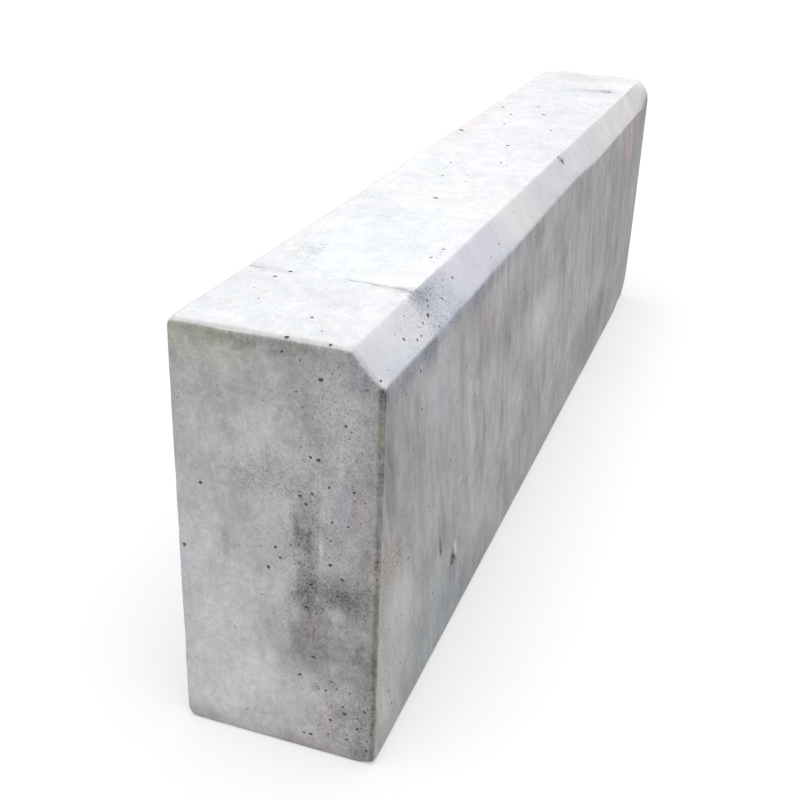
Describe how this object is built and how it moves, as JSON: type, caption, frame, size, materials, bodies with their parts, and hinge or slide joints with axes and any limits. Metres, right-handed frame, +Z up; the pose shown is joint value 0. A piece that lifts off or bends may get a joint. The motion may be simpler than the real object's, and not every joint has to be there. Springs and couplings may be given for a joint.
{
  "type": "kerb stone",
  "caption": "Straight precast concrete kerb stone: a long upright block with a chamfered top arris on the road side.",
  "frame": {"origin": "centre of the foot, midway along the length and midway across the width", "axes": "+X along the kerb, -Y out of the road face that carries the chamfer, +Y out of the back face, +Z up"},
  "size_m": [1, 0.14, 0.3],
  "materials": {
    "concrete": "pale grey cast concrete, matt, mould-smooth with small air holes and cloudy stains"
  },
  "bodies": {
    "root": {"kerb_stone": "concrete"}
  },
  "joints": []
}
